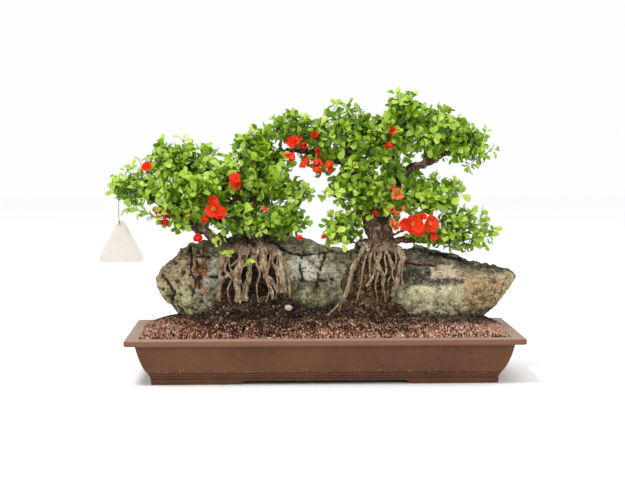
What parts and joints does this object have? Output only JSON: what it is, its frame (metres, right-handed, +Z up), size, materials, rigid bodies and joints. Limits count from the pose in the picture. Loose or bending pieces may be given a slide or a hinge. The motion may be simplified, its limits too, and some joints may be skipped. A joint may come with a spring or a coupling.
{
  "type": "chojubai flowering quince bonsai",
  "caption": "Flowering quince bonsai with bare roots over a long rock, red-orange blooms and small glossy leaves, in a shallow footed clay tray of gravel.",
  "frame": {"origin": "under the middle of the object's width and depth, at the height of the undersides of the tray's feet", "axes": "+Z up, +X to the right along the tray as seen from the front, +Y from the front to the back"},
  "size_m": [0.651, 0.255, 0.4466],
  "materials": {
    "clay": "matte",
    "screen": "matte",
    "gravel": "matte",
    "rock": "matte",
    "root_soil": "matte",
    "bark": "matte",
    "leaf": "satin",
    "petal": "matte",
    "stamen": "matte",
    "card": "matte",
    "thread": "matte"
  },
  "bodies": {
    "root": {"pot": "clay", "drain_screen_1": "screen", "drain_screen_2": "screen", "drain_screen_3": "screen", "soil": "gravel", "rock": "rock", "left_root_soil": "root_soil", "right_root_soil": "root_soil", "left_wood": "bark", "right_wood": "bark", "thread": "thread", "tag": "card", "stamens_main": "stamen", "stamens_second": "stamen", "stamens_left_front": "stamen", "bloom_main": "petal", "bloom_second": "petal", "bloom_left": "petal", "bloom_old": "petal", "bloom_inner": "petal", "bloom_bole": "petal", "bud_berry": "petal", "bloom_leader": "petal", "bud_stem": "petal", "bloom_branch_left": "petal", "bloom_branch_middle": "petal", "bloom_branch_right": "petal", "bud_left_stem": "petal", "bloom_left_front": "petal", "bud_left_inner": "petal", "bud_left_right": "petal", "bloom_left_under": "petal", "bloom_left_branch": "petal", "spray_left_tip": "leaf", "spray_left_crown": "leaf", "spray_left_front": "leaf", "spray_left_back": "leaf", "spray_left_low_front": "leaf", "spray_left_low_back": "leaf", "spray_left_centre": "leaf", "spray_left_trunk_top": "leaf", "spray_left_inner": "leaf", "spray_left_rear": "leaf", "spray_left_arm": "leaf", "spray_left_right_low": "leaf", "spray_right_long_tip": "leaf", "spray_right_long_middle": "leaf", "spray_right_long_low": "leaf", "spray_right_leader": "leaf", "spray_right_shoulder": "leaf", "spray_right_apex": "leaf", "spray_right_crown": "leaf", "spray_right_crown_tip": "leaf", "spray_right_crown_left": "leaf", "spray_right_crown_back": "leaf", "spray_right_stem": "leaf", "spray_right_middle": "leaf", "spray_right_middle_back": "leaf", "spray_right_low": "leaf", "spray_right_low_left": "leaf"}
  },
  "joints": []
}
